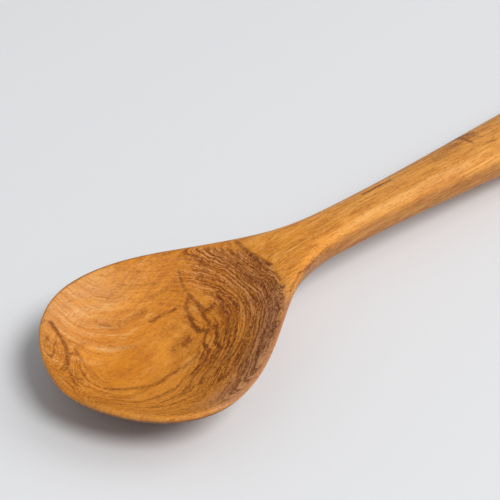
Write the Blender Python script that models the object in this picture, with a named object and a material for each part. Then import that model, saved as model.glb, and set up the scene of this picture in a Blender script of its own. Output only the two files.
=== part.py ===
"""A one-piece carved wooden cooking spoon, in metres, +Z up, lying as it does on a worktop.

The spoon runs along X: the tip of the bowl is at the low end and the end of the handle at the high end.
It rests on a small flat under the bowl and on the underside of the handle's end. The origin is on the
worktop, under the middle of the spoon. The whole shape is one loft of closed rings. Each ring is a slice
across the spoon, and the functions below give its width, its height, its rounded edge, its underside and
the hollow of the bowl from the sizes that follow.
"""

import math

import bpy

# Length of the whole spoon, and where its widths are set, measured from the tip of the bowl
TOTAL_LENGTH = 0.305
WIDEST_AT = 0.0284
NECK_AT = 0.103
GRIP_AT = 0.235

# Full widths, seen from above
BOWL_WIDTH = 0.0685
NECK_WIDTH = 0.0142
GRIP_WIDTH = 0.0242
END_WIDTH = 0.0224

# Full thicknesses of the neck and the grip, and the length over which the handle's end rounds off
NECK_THICKNESS = 0.0104
GRIP_THICKNESS = 0.0150
END_ROUNDING = 0.016
END_DOME = 0.010

# Fullness of the outline: a half for an ellipse at the tip, and higher for slimmer shoulders
TIP_FULLNESS = 0.622
SHOULDER_SLIMNESS = 1.4

# Heights above the worktop of the line where the spoon is widest
TIP_HEIGHT = 0.0149
SHOULDER_HEIGHT = 0.021
NECK_HEIGHT = 0.0181

# The hollow of the bowl: its depth below the rim, where it is deepest and where it ends
HOLLOW_DEPTH = 0.0115
HOLLOW_DEEPEST_AT = 0.030
HOLLOW_END_AT = 0.0705
HOLLOW_CLOSES_OVER = 0.0135
HOLLOW_EDGE_EASE = 0.001

# The rim: how far its rounded edge reaches inwards, and half its thickness
RIM_WIDTH = 0.0014
RIM_HALF_THICKNESS = 0.001

# The tip of the bowl, up to here, has its rings close together and one bend of the hollow
TIP_LENGTH = 0.0042

# The underside of the bowl: the flat that it stands on, and how full its slices are
FOOT_START_AT = 0.028
FOOT_END_AT = 0.042
FOOT_CUT = 0.0012
TIP_UNDERSIDE_SLOPE = -1.1
BELLY_ROUNDNESS = 1.1

# Roundness of the slices' edges: 2 is an ellipse, and more is squarer, as at the ridged neck
EDGE_SQUARENESS = 2.3
NECK_SQUARENESS = 2.8

# How finely the loft is divided
TIP_RINGS = 9
BOWL_RINGS = 34
SHOULDER_RINGS = 16
HANDLE_RINGS = 20
END_RINGS = 8
QUARTER_POINTS = 16
EDGE_SHARE = 0.28

WOOD_COLOUR = (0.56, 0.27, 0.075, 1.0)
WOOD_ROUGHNESS = 0.5


def ease(position, start, end):
    """0 up to start, 1 from end on, and a smooth rise between."""
    share = min(max((position - start) / (end - start), 0.0), 1.0)
    return share * share * (3.0 - 2.0 * share)


def swing(position, start, end, first, last):
    """A half cosine wave from the value first at start to the value last at end."""
    share = min(max((position - start) / (end - start), 0.0), 1.0)
    return first + (last - first) * (1.0 - math.cos(math.pi * share)) / 2.0


def curve(position, start, end):
    """A cubic between two ends, each given as its position, its height and its slope."""
    start_at, start_height, start_slope = start
    end_at, end_height, end_slope = end
    length = end_at - start_at
    share = min(max((position - start_at) / length, 0.0), 1.0)
    rise = share * share * (3.0 - 2.0 * share)
    leave = share * (1.0 - share) ** 2
    arrive = share * share * (share - 1.0)
    height = start_height + (end_height - start_height) * rise
    return height + length * (leave * start_slope + arrive * end_slope)


def round_off(position, end, length):
    """1 along the spoon, falling to 0 at end as a quarter of an ellipse of this length."""
    share = min(max(1.0 - (end - position) / length, 0.0), 1.0)
    return math.sqrt(1.0 - share * share)


def tip_half_width(position, half_width, widest_at):
    """Half the width of the rounded tip, from 0 at the tip to half_width at widest_at."""
    share = min(max(position / widest_at, 0.0), 1.0)
    return half_width * (1.0 - (1.0 - share) ** 2) ** TIP_FULLNESS


def half_width(position):
    """Half the spoon's width at this distance from the tip."""
    if position < WIDEST_AT:
        return tip_half_width(position, BOWL_WIDTH / 2, WIDEST_AT)
    if position < NECK_AT:
        fall = swing(position, WIDEST_AT, NECK_AT, 1.0, 0.0) ** SHOULDER_SLIMNESS
        return (NECK_WIDTH + (BOWL_WIDTH - NECK_WIDTH) * fall) / 2
    grip = swing(position, NECK_AT, GRIP_AT, NECK_WIDTH, GRIP_WIDTH)
    taper = swing(position, GRIP_AT, TOTAL_LENGTH, 0.0, END_WIDTH - GRIP_WIDTH)
    return (grip + taper) / 2 * round_off(position, TOTAL_LENGTH, END_ROUNDING)


def handle_slope():
    """The fall of the handle's centre line, which ends where the grip's underside meets the worktop."""
    return (GRIP_THICKNESS / 2 - NECK_HEIGHT) / (TOTAL_LENGTH - END_DOME - NECK_AT)


def line_height(position):
    """Height of the line where the spoon is widest."""
    if position < HOLLOW_END_AT:
        return curve(position, (0.0, TIP_HEIGHT, 0.0), (HOLLOW_END_AT, SHOULDER_HEIGHT, 0.0))
    neck = (NECK_AT, NECK_HEIGHT, handle_slope())
    if position < NECK_AT:
        return curve(position, (HOLLOW_END_AT, SHOULDER_HEIGHT, 0.0), neck)
    return NECK_HEIGHT + handle_slope() * (position - NECK_AT)


def neck_share(position):
    """0 where the spoon has a thin rim, and 1 where its slice is a plain oval."""
    return ease(position, HOLLOW_END_AT - HOLLOW_CLOSES_OVER, NECK_AT)


def edge_reach(position):
    """How far the rounded edge reaches inwards: the rim's width on the bowl, half the width on the handle."""
    half = half_width(position)
    rim = min(RIM_WIDTH, half)
    return rim + (half - rim) * neck_share(position)


def squareness(position):
    """How square the slice's edges are: most at the neck, and as on the bowl at the grip."""
    at_neck = ease(position, HOLLOW_END_AT, NECK_AT) - ease(position, NECK_AT, GRIP_AT)
    return EDGE_SQUARENESS + (NECK_SQUARENESS - EDGE_SQUARENESS) * at_neck


def edge_half_thickness(position):
    """Half the thickness of the spoon behind its rounded edge."""
    tip = 1.0 - min(position / RIM_WIDTH, 1.0)
    rim = RIM_HALF_THICKNESS * math.sqrt(1.0 - tip * tip)
    handle = swing(position, NECK_AT, GRIP_AT, NECK_THICKNESS, GRIP_THICKNESS) / 2
    handle *= round_off(position, TOTAL_LENGTH, END_DOME)
    return rim + (handle - rim) * neck_share(position)


def hollow_depth(position):
    """Depth of the hollow along its middle. It is below 0 beyond the hollow's ends."""
    if position < HOLLOW_DEEPEST_AT:
        reach = HOLLOW_DEEPEST_AT - RIM_WIDTH
    else:
        reach = HOLLOW_END_AT - HOLLOW_DEEPEST_AT
    share = (position - HOLLOW_DEEPEST_AT) / reach
    return HOLLOW_DEPTH * (1.0 - share * share)


def hollow_bend(position):
    """How fast the hollow's floor rises to the sides. It meets the rim along the bowl, and keeps its bend
    where the hollow closes before the neck."""
    last = HOLLOW_END_AT - HOLLOW_CLOSES_OVER
    place = min(max(position, TIP_LENGTH), last)
    if place < WIDEST_AT:
        inner = tip_half_width(place - RIM_WIDTH, BOWL_WIDTH / 2 - RIM_WIDTH, WIDEST_AT - RIM_WIDTH)
    else:
        inner = half_width(place) - RIM_WIDTH
    return hollow_depth(place) / (inner * inner)


def hollow(position, side):
    """How far the hollow lies below the rim at this place, with an eased edge."""
    raw = hollow_depth(position) - hollow_bend(position) * side * side
    return (raw + math.hypot(raw, HOLLOW_EDGE_EASE)) / 2


def underside_height(position):
    """Height of the bowl's underside along its middle, before the foot is cut flat."""
    lowest = -FOOT_CUT
    if position < FOOT_START_AT:
        return curve(position, (0.0, TIP_HEIGHT, TIP_UNDERSIDE_SLOPE), (FOOT_START_AT, lowest, 0.0))
    neck_underside = NECK_HEIGHT - NECK_THICKNESS / 2
    return curve(position, (FOOT_END_AT, lowest, 0.0), (NECK_AT, neck_underside, handle_slope()))


def belly_depth(position):
    """How far the bowl hangs below its rim along the middle, and 0 on the handle."""
    if position >= NECK_AT:
        return 0.0
    below = line_height(position) - edge_half_thickness(position) - underside_height(position)
    return max(below, 0.0)


def belly_share(share_of_half_width):
    """1 at the middle of a slice and 0 at its edge, round at the bottom and nearly straight at the sides."""
    rise = math.hypot(BELLY_ROUNDNESS, share_of_half_width) - BELLY_ROUNDNESS
    return 1.0 - rise / (math.hypot(BELLY_ROUNDNESS, 1.0) - BELLY_ROUNDNESS)


def side_places(half, reach):
    """Distances from the middle line to the edge, closer together on the rounded edge."""
    flat = half - reach
    flat_share = (1.0 - EDGE_SHARE) * flat / half
    places = []
    for step in range(QUARTER_POINTS + 1):
        share = step / QUARTER_POINTS
        if share < flat_share:
            places.append(flat * share / flat_share)
        else:
            turn = (share - flat_share) / (1.0 - flat_share)
            places.append(flat + reach * math.sin(math.pi / 2 * turn))
    return places


def ring(position):
    """One closed slice: over the top from one edge to the other, and back along the underside."""
    half = half_width(position)
    reach = edge_reach(position)
    thick = edge_half_thickness(position)
    line = line_height(position)
    belly = belly_depth(position)
    power = squareness(position)
    right_side = []
    for side in side_places(half, reach):
        turn = min(max((side - (half - reach)) / reach, 0.0), 1.0)
        roundness = max(1.0 - turn**power, 0.0) ** (1.0 / power)
        upper = line + roundness * (thick - hollow(position, side))
        lower = line - roundness * thick - belly * belly_share(side / half)
        right_side.append((side, upper, max(lower, 0.0)))
    middle = right_side[0]
    edge = right_side[-1]
    between = right_side[1:-1]
    corners = [(edge[0], line)]
    corners += [(side, upper) for side, upper, _ in reversed(between)]
    corners.append((0.0, middle[1]))
    corners += [(-side, upper) for side, upper, _ in between]
    corners.append((-edge[0], line))
    corners += [(-side, lower) for side, _, lower in reversed(between)]
    corners.append((0.0, middle[2]))
    corners += [(side, lower) for side, _, lower in between]
    return [(position - TOTAL_LENGTH / 2, side, height) for side, height in corners]


def ring_positions():
    """Distances of the rings from the tip, close together where the spoon rounds off."""
    closing = HOLLOW_END_AT - HOLLOW_CLOSES_OVER
    places = [
        TIP_LENGTH * (1.0 - math.cos(math.pi / 2 * step / TIP_RINGS)) for step in range(1, TIP_RINGS)
    ]
    places += [TIP_LENGTH + (closing - TIP_LENGTH) * step / BOWL_RINGS for step in range(BOWL_RINGS)]
    places += [closing + (NECK_AT - closing) * step / SHOULDER_RINGS for step in range(SHOULDER_RINGS)]
    dome_start = TOTAL_LENGTH - END_ROUNDING
    places += [NECK_AT + (dome_start - NECK_AT) * step / HANDLE_RINGS for step in range(HANDLE_RINGS)]
    places += [
        dome_start + END_ROUNDING * math.sin(math.pi / 2 * step / END_RINGS) for step in range(END_RINGS)
    ]
    return places


def loft(rings, first_point, last_point):
    """Points and faces of a closed skin over the rings, closed by a point at each end."""
    count = len(rings[0])
    points = [first_point] + [point for one in rings for point in one] + [last_point]
    last = len(points) - 1
    faces = []
    for index in range(count):
        after = (index + 1) % count
        faces.append((0, 1 + after, 1 + index))
        start = 1 + (len(rings) - 1) * count
        faces.append((last, start + index, start + after))
    for row in range(len(rings) - 1):
        start = 1 + row * count
        for index in range(count):
            after = (index + 1) % count
            faces.append((start + index, start + after, start + count + after, start + count + index))
    return points, faces


def wood_material():
    material = bpy.data.materials.new("carved_wood")
    material.use_nodes = True
    shader = material.node_tree.nodes["Principled BSDF"]
    shader.inputs["Base Color"].default_value = WOOD_COLOUR
    shader.inputs["Roughness"].default_value = WOOD_ROUGHNESS
    shader.inputs["Metallic"].default_value = 0.0
    material.diffuse_color = WOOD_COLOUR
    return material


def clear_scene():
    for old in list(bpy.data.objects):
        bpy.data.objects.remove(old, do_unlink=True)


def build_spoon(collection):
    rings = [ring(position) for position in ring_positions()]
    tip = (-TOTAL_LENGTH / 2, 0.0, line_height(0.0))
    handle_end = (TOTAL_LENGTH / 2, 0.0, line_height(TOTAL_LENGTH))
    points, faces = loft(rings, tip, handle_end)
    mesh = bpy.data.meshes.new("spoon")
    mesh.from_pydata(points, [], faces)
    mesh.materials.append(wood_material())
    mesh.shade_smooth()
    spoon = bpy.data.objects.new("spoon", mesh)
    collection.objects.link(spoon)
    return spoon


def main():
    clear_scene()
    collection = bpy.data.collections.new("carved_wooden_spoon")
    bpy.context.scene.collection.children.link(collection)
    build_spoon(collection)


main()
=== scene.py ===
"""A carved wooden cooking spoon on a pale floor, in metres, in the frame of its solid model.

The spoon is one loft of closed rings, like the solid that it stands for, with many more points, so that its
bowl is smooth. Its wood is a solid pattern: growth layers that bend through the whole block, cut by the
carved surface, so the same layers show as nested arcs in the bowl and as long lines on the handle.
"""

import math

import bpy
from mathutils import Matrix, Vector, noise as random_field


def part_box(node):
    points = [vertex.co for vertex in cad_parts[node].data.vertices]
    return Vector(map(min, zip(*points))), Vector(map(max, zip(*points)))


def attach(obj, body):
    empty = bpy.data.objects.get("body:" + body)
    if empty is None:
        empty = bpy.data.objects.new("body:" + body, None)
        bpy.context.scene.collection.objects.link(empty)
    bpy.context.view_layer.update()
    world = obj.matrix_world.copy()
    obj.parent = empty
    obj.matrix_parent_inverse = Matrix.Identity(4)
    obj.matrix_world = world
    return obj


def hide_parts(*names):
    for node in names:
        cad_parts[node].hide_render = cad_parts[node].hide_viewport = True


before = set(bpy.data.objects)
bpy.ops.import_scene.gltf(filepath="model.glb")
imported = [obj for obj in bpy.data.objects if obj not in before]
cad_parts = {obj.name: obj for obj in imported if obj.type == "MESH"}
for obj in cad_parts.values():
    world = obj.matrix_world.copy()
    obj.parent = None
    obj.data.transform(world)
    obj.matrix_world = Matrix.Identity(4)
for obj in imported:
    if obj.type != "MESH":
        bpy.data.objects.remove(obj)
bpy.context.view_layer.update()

# Length of the whole spoon, and where its widths are set, measured from the tip of the bowl
TOTAL_LENGTH = 0.305
WIDEST_AT = 0.0284
NECK_AT = 0.103
GRIP_AT = 0.235

# Full widths, seen from above
BOWL_WIDTH = 0.0685
NECK_WIDTH = 0.0142
GRIP_WIDTH = 0.0242
END_WIDTH = 0.0224

# Full thicknesses of the neck and the grip, and the length over which the handle's end rounds off
NECK_THICKNESS = 0.0104
GRIP_THICKNESS = 0.0150
END_ROUNDING = 0.016
END_DOME = 0.010

# Fullness of the outline: a half for an ellipse at the tip, and higher for slimmer shoulders
TIP_FULLNESS = 0.622
SHOULDER_SLIMNESS = 1.4

# Heights above the floor of the line where the spoon is widest
TIP_HEIGHT = 0.0149
SHOULDER_HEIGHT = 0.021
NECK_HEIGHT = 0.0181

# The hollow of the bowl: its depth below the rim, where it is deepest and where it ends
HOLLOW_DEPTH = 0.0115
HOLLOW_DEEPEST_AT = 0.030
HOLLOW_END_AT = 0.0705
HOLLOW_CLOSES_OVER = 0.0135
HOLLOW_EDGE_EASE = 0.001

# The rim: how far its rounded edge reaches inwards, and half its thickness
RIM_WIDTH = 0.0014
RIM_HALF_THICKNESS = 0.001
TIP_LENGTH = 0.0042

# The underside of the bowl: the flat that it stands on, and how full its slices are
FOOT_START_AT = 0.028
FOOT_END_AT = 0.042
FOOT_CUT = 0.0012
TIP_UNDERSIDE_SLOPE = -1.1
BELLY_ROUNDNESS = 1.1

# Roundness of the slices' edges: 2 is an ellipse, and more is squarer, as at the ridged neck
EDGE_SQUARENESS = 2.3
NECK_SQUARENESS = 2.8

# How finely the loft is divided
TIP_RINGS = 20
BOWL_RINGS = 150
SHOULDER_RINGS = 80
HANDLE_RINGS = 200
END_RINGS = 30
QUARTER_POINTS = 52
EDGE_SHARE = 0.28

# The camera, in metres, and its angles in degrees
CAMERA_PLACE = (-0.3331, -0.2588, 0.2857)
CAMERA_YAW = 43.67
CAMERA_PITCH = 35.76
CAMERA_ANGLE = 18.0
CAMERA_SEES_FROM = 0.01

# The lamps: each one's compass angle and elevation in degrees, its size in metres and its power in watts
LAMPS = {
    "key": (180.0, 51.5, 1.2, 54.0),
    "fill": (130.0, 44.0, 2.4, 27.0),
}
LAMP_DISTANCE = 3.0
LAMP_TARGET = (-0.08, 0.0, 0.0)
SKY_COLOUR = (1.0, 1.0, 1.0, 1.0)
SKY_STRENGTH = 0.330

FLOOR_SIZE = 6.0
FLOOR_COLOUR = (0.80, 0.81, 0.83, 1.0)
FLOOR_ROUGHNESS = 0.6
FLOOR_SHINE = 0.2

# How many millimetres a metre has, because the wood's pattern is drawn in millimetres
MILLIMETRES = 1000.0


def ease(position, start, end):
    """0 up to start, 1 from end on, and a smooth rise between."""
    share = min(max((position - start) / (end - start), 0.0), 1.0)
    return share * share * (3.0 - 2.0 * share)


def swing(position, start, end, first, last):
    """A half cosine wave from the value first at start to the value last at end."""
    share = min(max((position - start) / (end - start), 0.0), 1.0)
    return first + (last - first) * (1.0 - math.cos(math.pi * share)) / 2.0


def curve(position, start, end):
    """A cubic between two ends, each given as its position, its height and its slope."""
    start_at, start_height, start_slope = start
    end_at, end_height, end_slope = end
    length = end_at - start_at
    share = min(max((position - start_at) / length, 0.0), 1.0)
    rise = share * share * (3.0 - 2.0 * share)
    leave = share * (1.0 - share) ** 2
    arrive = share * share * (share - 1.0)
    height = start_height + (end_height - start_height) * rise
    return height + length * (leave * start_slope + arrive * end_slope)


def round_off(position, end, length):
    """1 along the spoon, falling to 0 at end as a quarter of an ellipse of this length."""
    share = min(max(1.0 - (end - position) / length, 0.0), 1.0)
    return math.sqrt(1.0 - share * share)


def tip_half_width(position, half_width, widest_at):
    """Half the width of the rounded tip, from 0 at the tip to half_width at widest_at."""
    share = min(max(position / widest_at, 0.0), 1.0)
    return half_width * (1.0 - (1.0 - share) ** 2) ** TIP_FULLNESS


def half_width(position):
    """Half the spoon's width at this distance from the tip."""
    if position < WIDEST_AT:
        return tip_half_width(position, BOWL_WIDTH / 2, WIDEST_AT)
    if position < NECK_AT:
        fall = swing(position, WIDEST_AT, NECK_AT, 1.0, 0.0) ** SHOULDER_SLIMNESS
        return (NECK_WIDTH + (BOWL_WIDTH - NECK_WIDTH) * fall) / 2
    grip = swing(position, NECK_AT, GRIP_AT, NECK_WIDTH, GRIP_WIDTH)
    taper = swing(position, GRIP_AT, TOTAL_LENGTH, 0.0, END_WIDTH - GRIP_WIDTH)
    return (grip + taper) / 2 * round_off(position, TOTAL_LENGTH, END_ROUNDING)


def handle_slope():
    """The fall of the handle's centre line, which ends where the grip's underside meets the floor."""
    return (GRIP_THICKNESS / 2 - NECK_HEIGHT) / (TOTAL_LENGTH - END_DOME - NECK_AT)


def line_height(position):
    """Height of the line where the spoon is widest."""
    if position < HOLLOW_END_AT:
        return curve(position, (0.0, TIP_HEIGHT, 0.0), (HOLLOW_END_AT, SHOULDER_HEIGHT, 0.0))
    neck = (NECK_AT, NECK_HEIGHT, handle_slope())
    if position < NECK_AT:
        return curve(position, (HOLLOW_END_AT, SHOULDER_HEIGHT, 0.0), neck)
    return NECK_HEIGHT + handle_slope() * (position - NECK_AT)


def neck_share(position):
    """0 where the spoon has a thin rim, and 1 where its slice is a plain oval."""
    return ease(position, HOLLOW_END_AT - HOLLOW_CLOSES_OVER, NECK_AT)


def edge_reach(position):
    """How far the rounded edge reaches inwards: the rim's width, and all the way in on the handle."""
    half = half_width(position)
    rim = min(RIM_WIDTH, half)
    return rim + (half - rim) * neck_share(position)


def squareness(position):
    """How square the slice's edges are: most at the neck, and as on the bowl at the grip."""
    at_neck = ease(position, HOLLOW_END_AT, NECK_AT) - ease(position, NECK_AT, GRIP_AT)
    return EDGE_SQUARENESS + (NECK_SQUARENESS - EDGE_SQUARENESS) * at_neck


def edge_half_thickness(position):
    """Half the thickness of the spoon behind its rounded edge."""
    tip = 1.0 - min(position / RIM_WIDTH, 1.0)
    rim = RIM_HALF_THICKNESS * math.sqrt(1.0 - tip * tip)
    handle = swing(position, NECK_AT, GRIP_AT, NECK_THICKNESS, GRIP_THICKNESS) / 2
    handle *= round_off(position, TOTAL_LENGTH, END_DOME)
    return rim + (handle - rim) * neck_share(position)


def hollow_depth(position):
    """Depth of the hollow along its middle. It is below 0 beyond the hollow's ends."""
    if position < HOLLOW_DEEPEST_AT:
        reach = HOLLOW_DEEPEST_AT - RIM_WIDTH
    else:
        reach = HOLLOW_END_AT - HOLLOW_DEEPEST_AT
    share = (position - HOLLOW_DEEPEST_AT) / reach
    return HOLLOW_DEPTH * (1.0 - share * share)


def hollow_bend(position):
    """How fast the hollow's floor rises to the sides. It meets the rim along the bowl, and keeps its bend
    where the hollow closes before the neck."""
    last = HOLLOW_END_AT - HOLLOW_CLOSES_OVER
    place = min(max(position, TIP_LENGTH), last)
    if place < WIDEST_AT:
        inner = tip_half_width(place - RIM_WIDTH, BOWL_WIDTH / 2 - RIM_WIDTH, WIDEST_AT - RIM_WIDTH)
    else:
        inner = half_width(place) - RIM_WIDTH
    return hollow_depth(place) / (inner * inner)


def hollow(position, side):
    """How far the hollow lies below the rim at this place, with an eased edge."""
    raw = hollow_depth(position) - hollow_bend(position) * side * side
    return (raw + math.hypot(raw, HOLLOW_EDGE_EASE)) / 2


def underside_height(position):
    """Height of the bowl's underside along its middle, before the foot is cut flat."""
    lowest = -FOOT_CUT
    if position < FOOT_START_AT:
        return curve(position, (0.0, TIP_HEIGHT, TIP_UNDERSIDE_SLOPE), (FOOT_START_AT, lowest, 0.0))
    neck_underside = NECK_HEIGHT - NECK_THICKNESS / 2
    return curve(position, (FOOT_END_AT, lowest, 0.0), (NECK_AT, neck_underside, handle_slope()))


def belly_depth(position):
    """How far the bowl hangs below its rim along the middle, and 0 on the handle."""
    if position >= NECK_AT:
        return 0.0
    below = line_height(position) - edge_half_thickness(position) - underside_height(position)
    return max(below, 0.0)


def belly_share(share_of_half_width):
    """1 at the middle of a slice and 0 at its edge, round at the bottom and straighter at the sides."""
    rise = math.hypot(BELLY_ROUNDNESS, share_of_half_width) - BELLY_ROUNDNESS
    return 1.0 - rise / (math.hypot(BELLY_ROUNDNESS, 1.0) - BELLY_ROUNDNESS)


def side_places(half, reach):
    """Distances from the middle line to the edge, closer together on the rounded edge."""
    flat = half - reach
    flat_share = (1.0 - EDGE_SHARE) * flat / half
    places = []
    for step in range(QUARTER_POINTS + 1):
        share = step / QUARTER_POINTS
        if share < flat_share:
            places.append(flat * share / flat_share)
        else:
            turn = (share - flat_share) / (1.0 - flat_share)
            places.append(flat + reach * math.sin(math.pi / 2 * turn))
    return places


def ring(position):
    """One closed slice: over the top from one edge to the other, and back along the underside."""
    half = half_width(position)
    reach = edge_reach(position)
    thick = edge_half_thickness(position)
    line = line_height(position)
    belly = belly_depth(position)
    power = squareness(position)
    right_side = []
    for side in side_places(half, reach):
        turn = min(max((side - (half - reach)) / reach, 0.0), 1.0)
        roundness = max(1.0 - turn**power, 0.0) ** (1.0 / power)
        upper = line + roundness * (thick - hollow(position, side))
        lower = line - roundness * thick - belly * belly_share(side / half)
        right_side.append((side, upper, max(lower, 0.0)))
    middle = right_side[0]
    edge = right_side[-1]
    between = right_side[1:-1]
    corners = [(edge[0], line)]
    corners += [(side, upper) for side, upper, _ in reversed(between)]
    corners.append((0.0, middle[1]))
    corners += [(-side, upper) for side, upper, _ in between]
    corners.append((-edge[0], line))
    corners += [(-side, lower) for side, _, lower in reversed(between)]
    corners.append((0.0, middle[2]))
    corners += [(side, lower) for side, _, lower in between]
    return [(position - TOTAL_LENGTH / 2, side, height) for side, height in corners]


def ring_positions():
    """Distances of the rings from the tip, close together where the spoon rounds off."""
    closing = HOLLOW_END_AT - HOLLOW_CLOSES_OVER
    places = [
        TIP_LENGTH * (1.0 - math.cos(math.pi / 2 * step / TIP_RINGS)) for step in range(1, TIP_RINGS)
    ]
    places += [TIP_LENGTH + (closing - TIP_LENGTH) * step / BOWL_RINGS for step in range(BOWL_RINGS)]
    places += [closing + (NECK_AT - closing) * step / SHOULDER_RINGS for step in range(SHOULDER_RINGS)]
    dome_start = TOTAL_LENGTH - END_ROUNDING
    places += [NECK_AT + (dome_start - NECK_AT) * step / HANDLE_RINGS for step in range(HANDLE_RINGS)]
    places += [
        dome_start + END_ROUNDING * math.sin(math.pi / 2 * step / END_RINGS) for step in range(END_RINGS)
    ]
    return places


def loft(rings, first_point, last_point):
    """Points and faces of a closed skin over the rings, closed by a point at each end."""
    count = len(rings[0])
    points = [first_point] + [point for one in rings for point in one] + [last_point]
    last = len(points) - 1
    faces = []
    for index in range(count):
        after = (index + 1) % count
        faces.append((0, 1 + after, 1 + index))
        start = 1 + (len(rings) - 1) * count
        faces.append((last, start + index, start + after))
    for row in range(len(rings) - 1):
        start = 1 + row * count
        for index in range(count):
            after = (index + 1) % count
            faces.append((start + index, start + after, start + count + after, start + count + index))
    return points, faces


def fitted(points, low, high):
    """The points drawn together by a hair, so that they fill the solid's box and don't leave it."""
    axes = list(zip(*points))
    scaled = []
    for values, first, last in zip(axes, low, high):
        least = min(values)
        most = max(values)
        share = (last - first) / (most - least)
        scaled.append([first + (value - least) * share for value in values])
    return list(zip(*scaled))


class Wire:
    """One number or vector inside a material, so that a pattern can be written as a formula."""

    def __init__(self, tree, socket):
        self.tree = tree
        self.socket = socket

    def maths(self, operation, *others):
        node = self.tree.nodes.new("ShaderNodeMath")
        node.operation = operation
        for entry, value in zip(node.inputs, (self, *others)):
            feed(self.tree, entry, value)
        return Wire(self.tree, node.outputs[0])

    def __add__(self, other):
        return self.maths("ADD", other)

    def __sub__(self, other):
        return self.maths("SUBTRACT", other)

    def __mul__(self, other):
        return self.maths("MULTIPLY", other)

    def __truediv__(self, other):
        return self.maths("DIVIDE", other)

    def __neg__(self):
        return self * -1.0

    def least(self, other):
        return self.maths("MINIMUM", other)

    def most(self, other):
        return self.maths("MAXIMUM", other)

    def length(self):
        """The length of a vector."""
        node = self.tree.nodes.new("ShaderNodeVectorMath")
        node.operation = "LENGTH"
        feed(self.tree, node.inputs[0], self)
        return Wire(self.tree, node.outputs["Value"])

    def opposite(self):
        """1 minus this."""
        return -self + 1.0

    def without(self, share):
        """This, less the share of it that is given."""
        return self * share.opposite()

    def between(self, low, high, first=0.0, last=1.0):
        """A smooth step from the value first at low to the value last at high."""
        node = self.tree.nodes.new("ShaderNodeMapRange")
        node.interpolation_type = "SMOOTHSTEP"
        feed(self.tree, node.inputs["Value"], self)
        node.inputs["From Min"].default_value = low
        node.inputs["From Max"].default_value = high
        node.inputs["To Min"].default_value = first
        node.inputs["To Max"].default_value = last
        return Wire(self.tree, node.outputs["Result"])

    def falling(self, low, high):
        """A smooth step from 1 at low to 0 at high."""
        return self.between(low, high, 1.0, 0.0)


def feed(tree, entry, value):
    """Links a wire to a node's entry, or sets the entry to a plain value."""
    if isinstance(value, Wire):
        tree.links.new(value.socket, entry)
    else:
        entry.default_value = value


def vector(tree, x, y, z):
    node = tree.nodes.new("ShaderNodeCombineXYZ")
    for entry, value in zip(node.inputs, (x, y, z)):
        feed(tree, entry, value)
    return Wire(tree, node.outputs[0])


def noise(tree, place, detail, roughness):
    """Cloudy noise, from -1 to 1 about 0."""
    node = tree.nodes.new("ShaderNodeTexNoise")
    feed(tree, node.inputs["Vector"], place)
    node.inputs["Scale"].default_value = 1.0
    node.inputs["Detail"].default_value = detail
    node.inputs["Roughness"].default_value = roughness
    return (Wire(tree, node.outputs[0]) - 0.5) * 2.0


def chance(tree, number):
    """A random number from 0 to 1 for each whole number."""
    node = tree.nodes.new("ShaderNodeTexWhiteNoise")
    node.noise_dimensions = "1D"
    feed(tree, node.inputs["W"], number)
    return Wire(tree, node.outputs["Value"])


def blend(tree, share, first, second):
    """A colour between two colours."""
    node = tree.nodes.new("ShaderNodeMix")
    node.data_type = "RGBA"
    feed(tree, node.inputs[0], share)
    feed(tree, node.inputs[6], first)
    feed(tree, node.inputs[7], second)
    return Wire(tree, node.outputs[2])


def painted(tree, name):
    """The number that the mesh carries at each point under this name."""
    node = tree.nodes.new("ShaderNodeAttribute")
    node.attribute_name = name
    return Wire(tree, node.outputs["Fac"])


# The tones of the wood and its lip, and the painted shade of its underside
GOLD = (0.64, 0.215, 0.010, 1.0)
HONEY = (0.82, 0.320, 0.036, 1.0)
ROSE = (0.50, 0.150, 0.016, 1.0)
RUSSET = (0.31, 0.070, 0.004, 1.0)
UMBER = (0.16, 0.032, 0.002, 1.0)
CHARCOAL = (0.040, 0.018, 0.008, 1.0)
AMBER = (0.80, 0.31, 0.050, 1.0)
TAN = (0.74, 0.38, 0.19, 1.0)
CREAM = (0.90, 0.56, 0.26, 1.0)
STRAW = (0.88, 0.45, 0.13, 1.0)
LIP = (0.34, 0.140, 0.064, 1.0)
UNDERSIDE_SHADE = (0.20, 0.070, 0.016, 1.0)

# The growth layers, as heights in millimetres: how each bends along and across the bowl. They stop bending
# along the spoon at their ends, which are given in reaches from the middle
LAYER_MIDDLE = 40.0
LAYER_REACH = 30.0
LAYER_ENDS = (-1.3, 1.1)
LAYER_RISE = 7.1
LAYER_LEAN = 0.86
LAYER_BEND_ALONG = 4.95
LAYER_BEND_ACROSS = 7.32
LAYER_CURL = 3.64
LAYER_FALLS_FROM = 100.0
LAYER_FALL_ON_HANDLE = 0.045

# The layer at the bottom of the hollow. The layers get thinner outwards from it, so that their lines lie
# evenly, one unit of their count to about a millimetre of the hollow
CORE_LAYER = 8.15
COUNT_SCALE = 16.0
BROAD_WAVE_HEIGHT = 2.0
ZIGZAG_HEIGHT = 0.45

# The dark line that ends each layer: how far apart the lines are, and where in its layer a line rises and
# falls
RING_SPACING = 1.15
FINE_SPACING = 0.43
RING_RISES = (0.25, 0.80)
RING_FALLS = (0.84, 1.0)
WEAKEST_RING = 0.1

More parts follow.
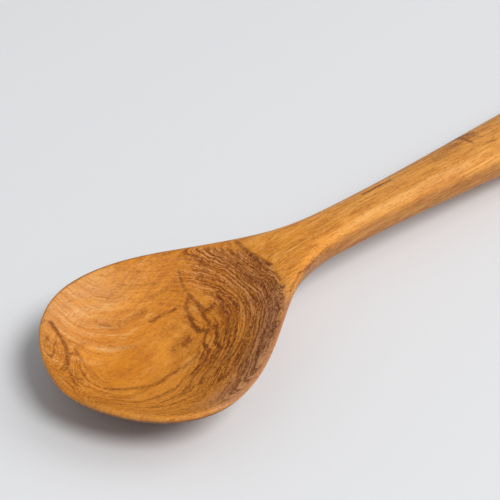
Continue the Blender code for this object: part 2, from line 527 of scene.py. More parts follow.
# Patterns of noise in the block: how often each changes in a millimetre along the spoon, across it and up,
# then its detail and its roughness
BROAD_WAVES = (0.045, 0.09, 0.09, 2.0, 0.5)
ZIGZAG = (0.18, 0.30, 0.30, 2.0, 0.5)
PATCHES = (0.11, 0.11, 0.11, 3.0, 0.6)
CLOUDS = (0.05, 0.10, 0.10, 3.0, 0.5)
ARC_WAVES = (0.12, 0.12, 0.12, 2.0, 0.5)
CRUMBLE = (1.1, 1.1, 1.1, 3.0, 0.7)
STRANDS = (0.07, 0.7, 0.5, 3.0, 0.6)
MOTTLE = (0.06, 0.22, 0.22, 3.0, 0.65)
FIBRES = (0.05, 1.1, 1.1, 3.0, 0.6)
HAIRS = (0.09, 3.8, 3.8, 2.0, 0.7)
GRAIN = (0.55, 2.4, 2.4, 3.0, 0.8)

# Patterns that follow the growth layers or the far wall's arcs: how often each changes from one layer or
# arc to the next, along the spoon and across it, then its detail and its roughness
BANDS = (0.45, 0.04, 0.04, 4.0, 0.68)
THREADS = (1.7, 0.06, 0.06, 2.0, 0.7)
STREAKS = (0.07, 0.05, 0.24, 3.0, 0.6)
SPECKLE = (2.2, 0.9, 0.9, 2.0, 0.8)
FAR_STREAKS = (0.75, 0.04, 0.04, 3.0, 0.7)
FAR_THREADS = (2.6, 0.14, 0.14, 2.0, 0.7)

# The wood darkens towards the near side of the hollow's end: the direction, the distances in millimetres
# over which it does, and how ragged the edge is
DARKENS_ALONG = 0.8
DARKENS_ACROSS = -0.6
DARKENING_RAGGED_BY = 6.0
RUSSET_FROM = (29.0, 47.0)
DARK_FROM = (40.0, 60.0)
BANDED_FROM = (30.0, 41.0)

# Where the other parts of the pattern begin or end, in millimetres: from the tip, or, in the names with
# ACROSS, from the middle line, above 0 towards the far rim
TIP_LINES_END = (10.0, 20.0)
NEAR_WALL_ACROSS = (-16.0, -6.0)
# Where the painted light on the hollow's near wall ends towards the handle
PAINTED_LIGHT_ENDS = (20.0, 42.0)
# Where the painted sheen lies on the hollow's far wall
SHEEN_FAR_WALL_ACROSS = (12.0, 30.0)
SHEEN_FAR_WALL_ENDS = (30.0, 48.0)
ARCS_ACROSS = (5.0, 16.0)
ARCS_END = (46.0, 62.0)
# Where the far wall's light streaks turn from the cream of the painted sheen to honey
SHEEN_TONE_ENDS = (26.0, 42.0)
CALM_FAR_WALL_ACROSS = (8.0, 16.0)
CALM_FAR_WALL_STARTS = (12.0, 20.0)
CALM_FAR_WALL_ENDS = (30.0, 44.0)
TORN_STARTS = (41.0, 46.0)
TORN_ENDS = (53.0, 58.0)
TORN_STARTS_ACROSS = (-11.0, -6.0)
TORN_ENDS_ACROSS = (10.0, 15.0)
TAN_LINES_START = (48.0, 64.0)
BELLY_LINES_END = (74.0, 100.0)
ON_HANDLE_FROM = (86.0, 112.0)

# The count of layers over which the calm core of the hollow ends
CALM_LAYERS = (10.0, 18.0)

# How strong the growth lines are, from 0 to 1, and how much of them each calm region takes away
LINES_EVERYWHERE = 0.22
LINES_AT_TIP = 0.60
LINES_ON_NEAR_WALL = 0.85
LINES_ON_RIM = 0.14
LINES_ON_BELLY = 0.60
LINES_UNDER_NECK = 0.15
CALM_FAR_WALL = 0.75
CALM_CORE = 0.85
CALM_TORN_PLACE = 0.50
CALM_PAINTED_LIGHT_WALL = 0.45
TIP_SPARED_UP_TO = 0.3

# The place on the far rim, in millimetres, round which the far wall's streaks bend
FAR_ARCS_AT = (40.0, 34.0)
ARC_WAVE_HEIGHT = 2.2

# How far the light lines turn from amber to tan, on the band of painted light under the near rim and at the
# hollow's end
TAN_ON_PALE_BAND = 0.8
TAN_AT_END = 0.6

# The values of a pattern between which the clouds turn, a pore deepens and a drawn line darkens
CLOUDS_TURN = (-0.45, 0.45)
PORE = (0.08, 0.40)
HEAVY_STROKE = (0.05, 0.90)

WOOD_ROUGHNESS = 0.42
PORE_ROUGHNESS = 0.15
LINE_ROUGHNESS = 0.10
WOOD_SHINE = 0.25
BUMP_STRENGTH = 0.5
BUMP_DISTANCE = 0.0002
PORE_DEPTH = 0.7
RING_DEPTH = 0.7
DRAWN_DEPTH = 1.6
CRUMBLE_DEPTH = 0.3

# Where the shares that the mesh carries rise and fall, in metres: the hollow with its rim, the lip, the band
# of painted light under the near rim, and the painted shade of the underside and the handle's flanks
INSIDE_EDGE = (0.0003, 0.0013)
INSIDE_DEPTH = (0.0001, 0.0006)
RIM_PALES = (0.057, 0.064)
LIP_STARTS = (0.018, 0.030)
LIP_ENDS = (0.062, 0.074)
LIP_REACH = (0.0005, 0.0013)
PALE_BAND_REACH = (0.0035, 0.012)
PALE_BAND_STARTS = (0.016, 0.030)
PALE_BAND_ENDS = (0.060, 0.070)
UPPER_SIDE_FROM = 0.05
HANDLE_STARTS = (0.060, 0.080)
# How strong the painted shade is under the bowl and on the handle's flanks, and the tilts over which the
# flanks' painted shade rises
BOWL_UNDERSIDE_SHADE = 0.92
HANDLE_FLANK_SHADE = 0.55
FLANK_TILT = (0.25, 0.90)

# Lines of the wood's figure on the upper side, with a few painted highlights and lines of painted shade, in
# millimetres from the tip and from the middle line, each with its strength and half width. A strength below
# 0 is a light line.
FIGURE_AND_PAINTED_LIGHT_LINES = [
    # The dark line at the end of the hollow
    (1.0, 0.9, [(71.3, 11), (70.3, 6), (70.2, 0), (70.6, -3.5)]),
    (0.5, 0.7, [(69.5, 13), (68, 9), (67.5, 4), (68.3, 0), (69, -5)]),
    (0.55, 1.5, [(65.3, 2), (66, -3), (66.5, -8), (65, -12)]),
    (0.4, 0.6, [(60, 15), (60, 10), (60.5, 5), (60.8, 0), (60, -6), (59, -10)]),
    (0.42, 2.4, [(66.5, 12.5), (65.8, 8), (66.6, 4), (67.8, 0)]),
    (0.50, 2.4, [(56.5, -2), (59.5, -5), (61.5, -10)]),
    (0.40, 2.0, [(59, 16), (60, 12.5)]),
    # Wavy lines round the bottom of the hollow
    (0.55, 0.6, [(54.4, 16.7), (52.4, 12.4), (52.2, 9.9)]),
    (0.95, 0.65, [(52.2, 9.9), (51.8, 5.9), (50.5, 1.9), (48.8, -1.6)]),
    (0.85, 0.7, [(51.4, 9.6), (48.9, 8.1), (47.7, 4.7)]),
    (1.3, 0.7, [(47.7, 4.7), (46.6, 2.3), (46.4, -0.9), (47.7, -2.4),
                (46.2, -3.2), (44.1, -4.6), (43.0, -7.0)]),
    (0.9, 0.6, [(43.0, -7.0), (41.5, -9.5), (38.5, -10.5), (34, -11)]),
    (1.1, 0.55, [(49.6, -3.4), (47.5, -6.7), (45.7, -7.8), (44.6, -11.0), (41, -12.5)]),
    (1.1, 0.6, [(52.1, 2.8), (54.9, 2.5)]),
    (1.0, 0.55, [(57.5, 4), (55.3, -1.2), (53.3, -4.5), (50.1, -7.5), (47.7, -10.9), (45, -13)]),
    (0.6, 0.6, [(58.5, -6), (56, -12), (53, -14), (50, -15.5), (46, -16), (40, -17), (35, -18)]),
    (0.5, 0.7, [(66, -5), (64, -12), (61, -17), (57, -20)]),
    (0.6, 0.8, [(60, -15), (55, -19.5), (50, -22), (45, -24.5)]),
    # The torn groove near the tip, and its fainter neighbour
    (0.9, 0.8, [(15.3, 26), (14.8, 20), (13.8, 17.5), (12, 15),
                (10, 12), (8, 9), (6.5, 6), (5.5, 3.5)]),
    (0.8, 0.5, [(11, 15.6), (15.5, 15.0), (16, 16.5)]),
    (0.5, 0.7, [(16, 15.5), (15, 12), (14, 9.5), (8.5, 4.5)]),
    (0.7, 0.9, [(8, 5.5), (9.3, 5.5)]),
    # Long lines along the bottom of the hollow
    (0.7, 0.8, [(13, 0), (16, -1.5), (20, -3.5), (24, -5.5), (27, -6.5),
                (31, -6), (35, -7), (38, -7.3), (42, -6)]),
    (0.6, 0.8, [(10, -9), (14, -9.5), (17, -11), (22, -11.5), (28, -12), (32, -11.5), (36, -11.5)]),
    (0.5, 0.7, [(12, -14), (18, -15.5), (24, -16), (30, -16.5), (36, -16.5), (40, -15.5), (44, -14.5)]),
    # Streaks on the far wall; the two light ones are painted highlights
    (0.5, 1.2, [(27.5, 20.5), (30, 18), (35, 16.5), (40, 16)]),
    (0.35, 0.9, [(18, 17.5), (21, 17), (24, 15), (26, 13), (31, 9), (35, 8)]),
    (0.4, 0.8, [(32, 27), (36, 25), (40, 24.5), (46, 24.5)]),
    (0.45, 0.8, [(40, 19), (45, 17), (50, 15.5), (53, 15)]),
    (-0.5, 1.6, [(27, 23.5), (34, 20.5), (42, 20)]),
    (-0.6, 0.9, [(26, 28.5), (30, 27), (34, 26.8), (38, 27.6)]),
    # A short crack and dark flecks
    (1.0, 0.42, [(39.2, 12.4), (42, 11.6), (44.5, 11.0), (47, 9.9)]),
    (0.42, 2.0, [(37.5, 7.0), (43, 6.4)]),
    (0.95, 1.2, [(40.6, -0.9), (42.4, -0.4)]),
    (0.50, 2.0, [(37.5, 0.2), (40.0, 0.8), (42.8, 0.9)]),
    (0.35, 2.6, [(33, -5), (38, -4), (42, -3)]),
    (0.7, 0.8, [(48, 4.4), (48.3, 3.4)]),
    (0.8, 0.7, [(66.7, -13.2), (67.3, -12.8)]),
    # Bright eyes between the wavy lines
    (-0.7, 1.6, [(53.7, 6.5), (54.5, 4.6)]),
    (-0.7, 1.3, [(52.4, 0.2), (51.6, -2.6)]),
    (-0.6, 0.6, [(48.9, 3.2), (48.4, 0.4)]),
    (-0.7, 0.5, [(45.3, -1.2), (46.6, -2.4), (44.8, -3.2), (42.9, -4.6), (41.8, -6.8)]),
    (-0.6, 0.5, [(46.6, -4.4), (44.9, -6.0), (43.9, -9.0), (40.5, -11)]),
    # The light line and the dark lines along the near wall
    (-0.6, 0.6, [(9, -10), (13, -16), (20, -20), (28, -22.5), (36, -23), (44, -21.5)]),
    (-0.5, 0.6, [(7, -1), (10, -7), (14, -11.5), (20, -15.5), (28, -18), (37, -19), (45, -18)]),
    (-0.5, 0.6, [(12, -19.5), (19, -24), (28, -26.5), (37, -27.5)]),
    (0.45, 0.6, [(8, -7), (12, -13.5), (19, -17.5), (28, -20), (37, -21)]),
    (0.4, 0.6, [(10, -13), (16, -18), (24, -21.5), (32, -22), (40, -21), (47, -18.5)]),
    (0.5, 0.5, [(14, -20.5), (22, -25.5), (30, -27), (38, -26)]),
    (0.3, 0.5, [(8, -5), (12, -10.5), (18, -13.8), (26, -14.4), (34, -14)]),
    (-0.5, 0.8, [(16, -12.4), (24, -13.2), (33, -13)]),
    (0.36, 2.8, [(35, -13.5), (40, -15), (46, -15)]),
    (0.32, 1.8, [(11, -4.5), (15, -6.2), (20, -6), (27, -4.2)]),
    # Charred patches under the near rim
    (0.7, 1.2, [(44, -26), (49, -25)]),
    (0.85, 1.3, [(51, -24), (56, -21.5)]),
    (0.75, 1.7, [(35, -21.5), (38, -22.3), (41.5, -22.5)]),
    # The handle: a crack and a knot; the light streak along its near side is a painted highlight, given
    # below
    (0.8, 0.5, [(116, 2.9), (122, 3.0), (128, 2.9)]),
    (0.9, 0.9, [(163.5, 8.5), (164.8, 5), (164.5, 0.6)]),
    (0.75, 1.2, [(160.5, 7.4), (164, 6.9), (167, 6.4), (170, 5.0)]),
    (0.6, 0.8, [(166, 7.6), (167.5, 4.4), (169.5, 1.0)]),
    (0.46, 3.4, [(148, 2.2), (156, 3.4), (163, 4.2), (168, 3.6)]),
    (0.25, 2.2, [(132, 3.0), (140, 3.6), (147, 3.4)]),
    (-0.4, 0.7, [(161, 5.2), (163.2, 3.0), (163.4, 0.6)]),
    (0.7, 0.6, [(166, -2.4), (172, -2.6)]),
    # A painted highlight along the ridge from the shoulder down the handle's near side, and a thin line of
    # painted shade below it
    (-0.7, 0.9, [(76, -10), (83, -8.1), (89.5, -7.1), (96, -6.4), (102, -5.4),
                 (112, -5), (124, -4.9), (138, -4.6), (155, -5.6)]),
    (0.7, 0.35, [(66.6, -15.8), (74.3, -11.9), (79.3, -10.4), (85, -8.9), (91, -7.7)]),
    # Light arcs on the shoulder
    (-0.6, 0.5, [(81.4, 2.4), (85.1, -1.3), (90.2, -4.3)]),
    (-0.5, 0.5, [(75.2, -3.1), (77.8, -5.3), (81.6, -6.8)]),
    (-0.5, 0.5, [(70.3, -4.1), (73.1, -7.3), (77.4, -8.9)]),
]
FIGURE_SPREAD = 1.7
FIGURE_WAVE = 0.45
FIGURE_WAVE_LENGTH = 5.0

# Where the field that makes the drawn lines waver starts, so that they waver the same way each time
FIGURE_WAVE_SEED = 3


def distance_to_line(x, y, line):
    """The least distance from a place to a line of straight pieces."""
    least = math.inf
    for (x0, y0), (x1, y1) in zip(line, line[1:]):
        run = x1 - x0
        rise = y1 - y0
        share = ((x - x0) * run + (y - y0) * rise) / (run * run + rise * rise)
        share = min(max(share, 0.0), 1.0)
        least = min(least, math.hypot(x0 + run * share - x, y0 + rise * share - y))
    return least


def figure_and_painted_light(x, y):
    """How dark the drawn figure is at this place of the upper side, in millimetres: the wood's lines with a
    few painted highlights and lines of painted shade.
    """
    wave = random_field.noise_vector(Vector((x, y, 0.0)) / FIGURE_WAVE_LENGTH) * FIGURE_WAVE
    x += wave.x
    y += wave.y
    darkest = 0.0
    lightest = 0.0
    for strength, half_width, line in FIGURE_AND_PAINTED_LIGHT_LINES:
        reach = half_width * FIGURE_SPREAD
        along = [place[0] for place in line]
        if not min(along) - reach < x < max(along) + reach:
            continue
        closeness = 1.0 - distance_to_line(x, y, line) / reach
        if closeness > 0.0:
            darkest = max(darkest, strength * closeness)
            lightest = min(lightest, strength * closeness)
    return darkest + lightest


def pattern(tree, places, form):
    """Noise over three places, stretched by the three changes that its form starts with."""
    *changes, detail, roughness = form
    stretched = [place * change for place, change in zip(places, changes)]
    return noise(tree, vector(tree, *stretched), detail, roughness)


def growth_layer(tree, x, y, z):
    """The count of growth layers from the core of the hollow to this place, given in millimetres."""
    first, last = LAYER_ENDS
    along = ((x - LAYER_MIDDLE) / LAYER_REACH).most(first).least(last)
    across = y / LAYER_REACH
    along_twice = along * along
    layer = z - along * LAYER_RISE - across * LAYER_LEAN
    layer = layer - along_twice * LAYER_BEND_ALONG - across * across * LAYER_BEND_ACROSS
    layer = layer + along_twice * along * LAYER_CURL
    layer = layer + (x - LAYER_FALLS_FROM).most(0.0) * LAYER_FALL_ON_HANDLE
    count = (layer - CORE_LAYER).maths("ABSOLUTE").maths("SQRT") * COUNT_SCALE
    broad = pattern(tree, (x, y, z), BROAD_WAVES) * BROAD_WAVE_HEIGHT
    return count + broad + pattern(tree, (x, y, z), ZIGZAG) * ZIGZAG_HEIGHT


def ring_lines(tree, layer, spacing, weakest):
    """1 on the dark line that ends each layer, with a strength of its own from weakest to 1."""
    count = layer / spacing
    part = count.maths("FRACT")
    strength = chance(tree, count.maths("FLOOR")) * (1.0 - weakest) + weakest
    return part.between(*RING_RISES) * part.falling(*RING_FALLS) * strength


class Block:
    """The block of wood: places in it in millimetres, the patterns that run through it, and its regions."""

    def __init__(self, tree):
        self.tree = tree
        coordinates = tree.nodes.new("ShaderNodeTexCoord")
        split = tree.nodes.new("ShaderNodeSeparateXYZ")
        tree.links.new(coordinates.outputs["Object"], split.inputs[0])
        self.x = (Wire(tree, split.outputs[0]) + TOTAL_LENGTH / 2) * MILLIMETRES
        self.y = Wire(tree, split.outputs[1]) * MILLIMETRES
        self.z = Wire(tree, split.outputs[2]) * MILLIMETRES
        self.hollow = painted(tree, "inside")
        self.outside = self.hollow.opposite()
        # Painted shade under the bowl and on the handle's flanks
        self.below = painted(tree, "below")
        # Painted light on the hollow's near wall, under the rim
        self.painted_light_band = painted(tree, "painted_light_band")
        self.layer = growth_layer(tree, self.x, self.y, self.z)
        self.rings = ring_lines(tree, self.layer, RING_SPACING, WEAKEST_RING)
        self.bands = self.along_layers(BANDS)
        self.patches = self.noise(PATCHES)
        self.crumble = self.noise(CRUMBLE)
        self.grain = self.noise(GRAIN)
        self.find_regions()

    def noise(self, form):
        """A pattern of the block, whatever its layers."""
        return pattern(self.tree, (self.x, self.y, self.z), form)

    def along_layers(self, form):
        """A pattern that follows the growth layers."""
        return pattern(self.tree, (self.layer, self.x, self.y), form)

    def find_regions(self):
        """Numbers from 0 to 1 that say where each part of the pattern shows."""
        x = self.x
        y = self.y
        ragged = x * DARKENS_ALONG + y * DARKENS_ACROSS + self.patches * DARKENING_RAGGED_BY
        self.russet = ragged.between(*RUSSET_FROM) * self.hollow
        self.dark = ragged.between(*DARK_FROM) * self.hollow
        self.near_tip = x.between(*TIP_LINES_END, LINES_AT_TIP, 0.0)
        self.banded = ragged.between(*BANDED_FROM, LINES_EVERYWHERE, 1.0).most(self.near_tip) * self.hollow
        near_wall = y.falling(*NEAR_WALL_ACROSS) * self.hollow
        # Painted light on the hollow's near wall towards the tip
        self.bright = near_wall * x.falling(*PAINTED_LIGHT_ENDS)
        # Painted sheen on the hollow's far wall
        self.far_wall = y.between(*SHEEN_FAR_WALL_ACROSS) * self.hollow * x.falling(*SHEEN_FAR_WALL_ENDS)
        self.arcs = y.between(*ARCS_ACROSS) * x.falling(*ARCS_END) * self.hollow
        self.on_handle = x.between(*ON_HANDLE_FROM)
        self.lined = self.find_lined(near_wall)
        self.sharp = self.lined.without(self.bright * CALM_PAINTED_LIGHT_WALL)

    def find_lined(self, near_wall):
        """Where the growth lines show: most on the near wall and at the hollow's end."""
        x = self.x
        y = self.y
        on_rim = self.hollow.between(0.0, 1.0, LINES_ON_RIM, 1.0)
        lined = self.banded.most(near_wall * LINES_ON_NEAR_WALL) * on_rim
        far_wall = y.between(*CALM_FAR_WALL_ACROSS) * x.between(*CALM_FAR_WALL_STARTS)
        lined = lined.without(far_wall * x.between(*CALM_FAR_WALL_ENDS, CALM_FAR_WALL, 0.0))
        away_from_tip = self.near_tip.falling(0.0, TIP_SPARED_UP_TO)
        lined = lined.without(self.layer.falling(*CALM_LAYERS) * away_from_tip * CALM_CORE)
        torn = x.between(*TORN_STARTS) * x.falling(*TORN_ENDS)
        torn = torn * y.between(*TORN_STARTS_ACROSS) * y.falling(*TORN_ENDS_ACROSS)
        lined = lined.without(torn * CALM_TORN_PLACE)
        return lined.most(self.below * x.between(*BELLY_LINES_END, LINES_ON_BELLY, LINES_UNDER_NECK))


class Colour:
    """The colour of the wood, laid on coat by coat."""

    def __init__(self, tree, first, second, share):
        self.tree = tree
        self.wire = blend(tree, share, first, second)

    def coat(self, tone, where, strength=1.0):
        """Lays a tone on, as much as the share where says."""
        self.wire = blend(self.tree, where * strength, self.wire, tone)

    def streaks(self, tone, texture, start, full, strength=1.0, where=1.0):
        """Lays a tone on where the texture is above start, and in full where it is above full."""
        self.coat(tone, texture.between(start, full) * where, strength)


def lay_soft_tones(colour, block):
    """The broad tones of the hollow and the handle, without their lines, with painted light on the hollow's
    near wall and a painted sheen on its far wall.
    """
    colour.streaks(ROSE, block.patches, start=0.0, full=0.6, strength=0.50)
    soft = (block.along_layers(STREAKS) + block.noise(STRANDS)) * block.hollow
    colour.streaks(ROSE, soft, start=0.0, full=0.7, strength=0.55)
    colour.streaks(STRAW, -soft, start=0.0, full=0.7, strength=0.60)
    colour.coat(RUSSET, block.near_tip, strength=0.12)
    least_russet = 0.16
    most_russet = 0.56
    colour.coat(RUSSET, block.russet * block.patches.between(-0.5, 0.4, least_russet, most_russet))
    colour.coat(UMBER, block.dark, strength=0.12)
    # Painted sheen: a pale cream over the far wall, where the wood reflects the light
    colour.coat(CREAM, block.far_wall, strength=0.30)
    # Painted light: the near wall towards the tip, which faces away from the key lamp, made brighter
    colour.coat(HONEY, block.bright, strength=0.70)
    colour.coat(STRAW, block.on_handle, strength=0.30)
    # Painted light: the near wall under the rim lightened and greyed, in place of fill light and its grazing
    # reflection
    colour.coat(TAN, block.painted_light_band, strength=0.70)
    colour.streaks(HONEY, -block.bands, start=0.05, full=0.45, strength=0.50, where=block.banded)
    colour.streaks(RUSSET, block.bands, start=0.0, full=0.45, strength=0.55, where=block.banded)


def lay_far_wall_arcs(colour, block):
    """The streaks that bend round a place on the far rim, their light ones cream with painted sheen towards
    the tip.
    """
    tree = block.tree
    centre_along, centre_across = FAR_ARCS_AT
    reach = vector(tree, (block.x - centre_along).least(0.0), block.y - centre_across, 0.0).length()
    arcs = (reach + block.noise(ARC_WAVES) * ARC_WAVE_HEIGHT, block.x, block.y)
    streaks = pattern(tree, arcs, FAR_STREAKS)
    threads = pattern(tree, arcs, FAR_THREADS)
    # The light streaks are cream, a painted sheen, towards the tip and honey further on
    sheen_tone = blend(tree, block.x.between(*SHEEN_TONE_ENDS), CREAM, HONEY)
    threaded = block.arcs * block.x.between(*CALM_FAR_WALL_STARTS)
    colour.streaks(ROSE, streaks, start=0.0, full=0.34, strength=0.58, where=block.arcs)
    colour.streaks(sheen_tone, -streaks, start=0.0, full=0.34, strength=0.50, where=block.arcs)
    colour.streaks(RUSSET, threads, start=0.05, full=0.35, strength=0.26, where=threaded)
    colour.streaks(CREAM, -threads, start=0.05, full=0.35, strength=0.15, where=threaded)


def lay_growth_lines(colour, block, light_line):
    """The dark and light lines of the growth layers."""
    fine_rings = ring_lines(block.tree, block.layer, FINE_SPACING, 0.0)
    colour.coat(UMBER, block.rings * block.sharp, strength=0.86)
    colour.coat(CHARCOAL, block.rings * block.dark, strength=0.45)
    colour.coat(UMBER, fine_rings * block.sharp, strength=0.55)
    crumbling = 0.15
    threads = block.along_layers(THREADS) + block.crumble * crumbling
    colour.streaks(UMBER, threads, start=0.02, full=0.22, strength=0.75, where=block.sharp)
    colour.streaks(light_line, -threads, start=0.06, full=0.26, strength=0.82, where=block.lined)


def lay_outside_fibres(colour, block):
    """The long fibres of the handle and of the bowl's underside, over painted shade under the bowl and on
    the handle's flanks.
    """
    shaded = 0.7
    lit = block.outside.without(block.below * shaded)
    fibres = block.noise(FIBRES)
    hairs = block.noise(HAIRS)
    colour.streaks(ROSE, block.noise(MOTTLE), start=-0.05, full=0.45, strength=0.55, where=block.outside)
    # Painted shade: dark under the bowl, and lighter on the handle's flanks that turn away from the light
    colour.coat(UNDERSIDE_SHADE, block.below)
    colour.streaks(RUSSET, fibres, start=0.0, full=0.40, strength=0.45, where=block.outside)
    colour.streaks(STRAW, -fibres, start=0.0, full=0.40, strength=0.50, where=lit)
    colour.streaks(UMBER, hairs, start=0.05, full=0.35, strength=0.42, where=block.outside)
    colour.streaks(STRAW, -hairs, start=0.05, full=0.35, strength=0.55, where=lit)


def drawn_strokes(block):
    """The lines of the drawn figure, with its painted highlights and shade lines, broken up by the wood's
    own pattern.
    """
    drawn = painted(block.tree, "figure_and_painted_light")
    crumbling = 0.9
    banding = 0.8
    return drawn + drawn * (block.crumble * crumbling + block.bands * banding)


def lay_drawn_lines(colour, block, strokes):
    light_tone = blend(block.tree, block.on_handle, HONEY, STRAW)
    # The light strokes are light wood lines and painted highlights, the dark ones wood lines and painted
    # shade
    colour.streaks(light_tone, -strokes, start=0.0, full=0.9, strength=0.70)
    colour.streaks(UMBER, strokes, *HEAVY_STROKE, strength=0.80)
    colour.streaks(CHARCOAL, strokes, start=0.75, full=1.3, strength=0.45)


def lay_grain(colour, block, light_line):
    """The lip, the pores and the finest flecks."""
    colour.coat(LIP, painted(block.tree, "lip"), strength=0.80)
    pores_outside = 0.45
    pores_inside = 0.35
    pores = block.hollow.between(0.0, 1.0, pores_outside, pores_inside)
    lit = block.below.opposite()
    speckle = block.along_layers(SPECKLE)
    speckle_elsewhere = 0.14
    speckle_on_lines = 0.60
    speckled = block.lined.between(0.0, 1.0, speckle_elsewhere, speckle_on_lines)
    colour.streaks(UMBER, block.grain, *PORE, where=pores)
    colour.streaks(HONEY, -block.grain, *PORE, strength=0.55, where=lit)
    colour.streaks(UMBER, speckle, start=0.06, full=0.26, where=speckled)
    colour.streaks(light_line, -speckle, start=0.08, full=0.28, where=speckled * lit)


def wood_material():
    material = bpy.data.materials.new("carved_wood")
    material.use_nodes = True
    tree = material.node_tree
    shader = tree.nodes["Principled BSDF"]
    block = Block(tree)
    colour = Colour(tree, GOLD, HONEY, block.noise(CLOUDS).between(*CLOUDS_TURN))
    tan_share = (block.painted_light_band * TAN_ON_PALE_BAND).most(block.x.between(*TAN_LINES_START) * TAN_AT_END)
    light_line = blend(tree, tan_share, AMBER, TAN)
    strokes = drawn_strokes(block)
    lay_soft_tones(colour, block)
    lay_far_wall_arcs(colour, block)
    lay_growth_lines(colour, block, light_line)
    lay_outside_fibres(colour, block)
    lay_drawn_lines(colour, block, strokes)
    lay_grain(colour, block, light_line)
    tree.links.new(colour.wire.socket, shader.inputs["Base Color"])

    pore = block.grain.between(*PORE)
    heavy = strokes.between(*HEAVY_STROKE)
    shader.inputs["Specular IOR Level"].default_value = WOOD_SHINE
    roughness = pore * PORE_ROUGHNESS + heavy * LINE_ROUGHNESS + WOOD_ROUGHNESS
    tree.links.new(roughness.socket, shader.inputs["Roughness"])
    bump = tree.nodes.new("ShaderNodeBump")
    bump.inputs["Strength"].default_value = BUMP_STRENGTH
    bump.inputs["Distance"].default_value = BUMP_DISTANCE
    height = -(pore * PORE_DEPTH) - block.rings * block.lined * RING_DEPTH
    height = height - heavy * DRAWN_DEPTH - block.crumble * CRUMBLE_DEPTH
    tree.links.new(height.socket, bump.inputs["Height"])
    tree.links.new(bump.outputs["Normal"], shader.inputs["Normal"])
    return material


def inside(position, side):
    """1 on the hollow and the top of the bowl's rim, and 0 on the handle and round the outer edge."""
    edge = min(half_width(position) - abs(side), position)
    on_bowl = ease(edge, *INSIDE_EDGE)
    in_hollow = ease(hollow(position, side), *INSIDE_DEPTH)
    return on_bowl + (in_hollow - on_bowl) * ease(position, *RIM_PALES)


def lip(position, side):
    """1 on the pale lip that shows along the bowl's rim outside the hollow, and 0 elsewhere."""
    edge = half_width(position) - abs(side)
    along = ease(position, *LIP_STARTS) * (1.0 - ease(position, *LIP_ENDS))
    return along * (1.0 - ease(edge, *LIP_REACH))


def painted_light_band_share(position, side):
    """1 on the band of painted light under the bowl's near rim, and 0 elsewhere."""
    edge = half_width(position) + side
    along = ease(position, *PALE_BAND_STARTS) * (1.0 - ease(position, *PALE_BAND_ENDS))
    return along * (1.0 - ease(edge, *PALE_BAND_REACH))


def below(position, height, upness):
    """How much painted shade the wood takes: dark under the bowl's widest line, and less so on the handle's
    flanks as they turn from above.
    """
    drop = line_height(position) - height
    under_bowl = ease(drop, 0.0, RIM_HALF_THICKNESS) if upness < UPPER_SIDE_FROM else 0.0
    flank = ease(1.0 - upness, *FLANK_TILT)
    on_handle = ease(position, *HANDLE_STARTS)
    return under_bowl * (1.0 - on_handle) * BOWL_UNDERSIDE_SHADE + flank * on_handle * HANDLE_FLANK_SHADE


def paint(mesh):
    """Gives each point its share in the hollow, lip, band of painted light and painted shade, and its drawn
    figure with its painted highlights.
    """
    random_field.seed_set(FIGURE_WAVE_SEED)
    values = {"inside": [], "lip": [], "painted_light_band": [], "below": [], "figure_and_painted_light": []}
    for point in mesh.vertices:
        position = point.co.x + TOTAL_LENGTH / 2
        side = point.co.y
        on_top = point.normal.z > UPPER_SIDE_FROM
        values["inside"].append(inside(position, side) if on_top else 0.0)
        values["lip"].append(lip(position, side) if on_top else 0.0)
        values["painted_light_band"].append(painted_light_band_share(position, side) if on_top else 0.0)
        values["below"].append(below(position, point.co.z, point.normal.z))
        values["figure_and_painted_light"].append(figure_and_painted_light(MILLIMETRES * position, MILLIMETRES * side) if on_top else 0.0)
    for name, numbers in values.items():
        mesh.attributes.new(name, "FLOAT", "POINT").data.foreach_set("value", numbers)


def build_spoon():
    rings = [ring(position) for position in ring_positions()]
    tip = (-TOTAL_LENGTH / 2, 0.0, line_height(0.0))
    handle_end = (TOTAL_LENGTH / 2, 0.0, line_height(TOTAL_LENGTH))
    points, faces = loft(rings, tip, handle_end)
    low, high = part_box("spoon")
    mesh = bpy.data.meshes.new("carved_spoon")
    mesh.from_pydata(fitted(points, low, high), [], faces)
    paint(mesh)
    mesh.materials.append(wood_material())
    mesh.shade_smooth()
    spoon = bpy.data.objects.new("carved_spoon", mesh)
    bpy.context.scene.collection.objects.link(spoon)
    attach(spoon, "root")
    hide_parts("spoon")


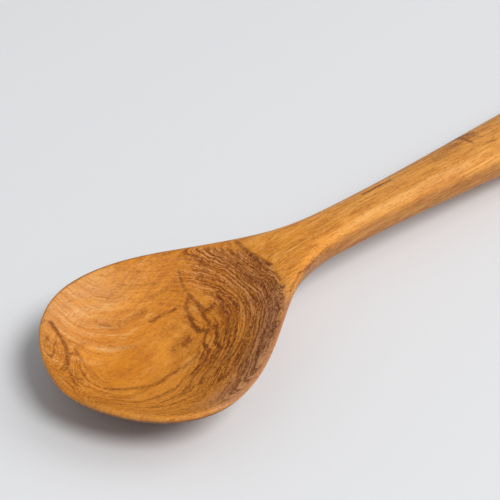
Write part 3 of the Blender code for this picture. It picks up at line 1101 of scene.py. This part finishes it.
def build_floor():
    half = FLOOR_SIZE / 2
    mesh = bpy.data.meshes.new("floor")
    corners = [(-half, -half, 0.0), (half, -half, 0.0), (half, half, 0.0), (-half, half, 0.0)]
    mesh.from_pydata(corners, [], [(0, 1, 2, 3)])
    material = bpy.data.materials.new("floor")
    material.use_nodes = True
    shader = material.node_tree.nodes["Principled BSDF"]
    shader.inputs["Base Color"].default_value = FLOOR_COLOUR
    shader.inputs["Roughness"].default_value = FLOOR_ROUGHNESS
    shader.inputs["Specular IOR Level"].default_value = FLOOR_SHINE
    mesh.materials.append(material)
    floor = bpy.data.objects.new("floor", mesh)
    bpy.context.scene.collection.objects.link(floor)


def build_camera():
    yaw = math.radians(CAMERA_YAW)
    pitch = math.radians(CAMERA_PITCH)
    ahead = Vector((math.sin(yaw) * math.cos(pitch), math.cos(yaw) * math.cos(pitch), -math.sin(pitch)))
    right = Vector((math.cos(yaw), -math.sin(yaw), 0.0))
    up = right.cross(ahead)
    data = bpy.data.cameras.new("camera")
    data.angle = math.radians(CAMERA_ANGLE)
    data.clip_start = CAMERA_SEES_FROM
    camera = bpy.data.objects.new("camera", data)
    turn = Matrix((right, up, -ahead)).transposed().to_4x4()
    camera.matrix_world = Matrix.Translation(CAMERA_PLACE) @ turn
    bpy.context.scene.collection.objects.link(camera)
    bpy.context.scene.camera = camera


def build_lights():
    for name, (yaw, elevation, size, power) in LAMPS.items():
        yaw = math.radians(yaw)
        elevation = math.radians(elevation)
        level = math.cos(elevation)
        towards = Vector((math.sin(yaw) * level, math.cos(yaw) * level, math.sin(elevation)))
        data = bpy.data.lights.new(name, "AREA")
        data.shape = "DISK"
        data.size = size
        data.energy = power
        lamp = bpy.data.objects.new(name, data)
        lamp.location = Vector(LAMP_TARGET) + towards * LAMP_DISTANCE
        lamp.rotation_euler = towards.to_track_quat("Z", "Y").to_euler()
        bpy.context.scene.collection.objects.link(lamp)
    world = bpy.data.worlds.new("studio")
    world.use_nodes = True
    background = world.node_tree.nodes["Background"]
    background.inputs["Color"].default_value = SKY_COLOUR
    background.inputs["Strength"].default_value = SKY_STRENGTH
    bpy.context.scene.world = world


build_camera()
build_lights()
build_floor()
build_spoon()
bpy.context.scene.view_settings.view_transform = "Standard"
